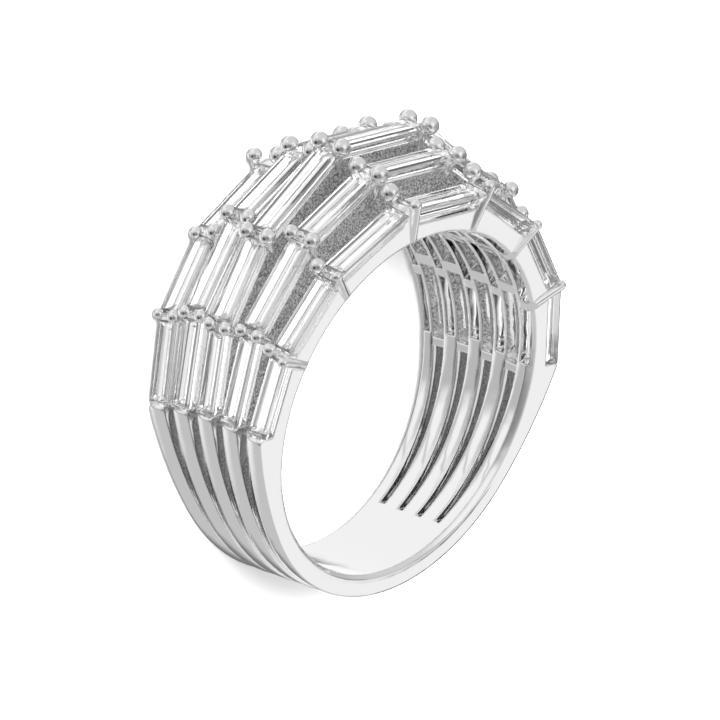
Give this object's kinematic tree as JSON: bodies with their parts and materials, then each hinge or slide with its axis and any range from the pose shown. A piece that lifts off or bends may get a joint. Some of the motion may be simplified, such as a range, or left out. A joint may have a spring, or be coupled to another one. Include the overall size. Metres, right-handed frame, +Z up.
{
  "type": "baguette band ring",
  "caption": "Wide polished white gold band whose fanned rows of clear baguette-cut stones dome over the top, held by bead prongs and side claws, with slots between the rows down the shank.",
  "frame": {"origin": "centre of the finger hole, on the middle of its length", "axes": "+Z up as the ring rests on its side, 7.18 degrees from the finger hole's axis and towards the picture's viewer; +Y towards the head; +X across the finger hole towards the picture's right"},
  "size_m": [0.0218, 0.023, 0.0101],
  "materials": {
    "white_gold": "polished",
    "clear_stone": "cut and polished"
  },
  "bodies": {
    "root": {"band": "white_gold", "baguette_r1_s1": "clear_stone", "baguette_r1_s2": "clear_stone", "baguette_r1_s3": "clear_stone", "baguette_r1_s4": "clear_stone", "baguette_r1_s5": "clear_stone", "baguette_r1_s6": "clear_stone", "baguette_r1_s7": "clear_stone", "baguette_r2_s1": "clear_stone", "baguette_r2_s2": "clear_stone", "baguette_r2_s3": "clear_stone", "baguette_r2_s4": "clear_stone", "baguette_r2_s5": "clear_stone", "baguette_r2_s6": "clear_stone", "baguette_r2_s7": "clear_stone", "baguette_r3_s1": "clear_stone", "baguette_r3_s2": "clear_stone", "baguette_r3_s3": "clear_stone", "baguette_r3_s4": "clear_stone", "baguette_r3_s5": "clear_stone", "baguette_r3_s6": "clear_stone", "baguette_r3_s7": "clear_stone", "baguette_r4_s1": "clear_stone", "baguette_r4_s2": "clear_stone", "baguette_r4_s3": "clear_stone", "baguette_r4_s4": "clear_stone", "baguette_r4_s5": "clear_stone", "baguette_r4_s6": "clear_stone", "baguette_r4_s7": "clear_stone", "baguette_r5_s1": "clear_stone", "baguette_r5_s2": "clear_stone", "baguette_r5_s3": "clear_stone", "baguette_r5_s4": "clear_stone", "baguette_r5_s5": "clear_stone", "baguette_r5_s6": "clear_stone", "baguette_r5_s7": "clear_stone"}
  },
  "joints": []
}
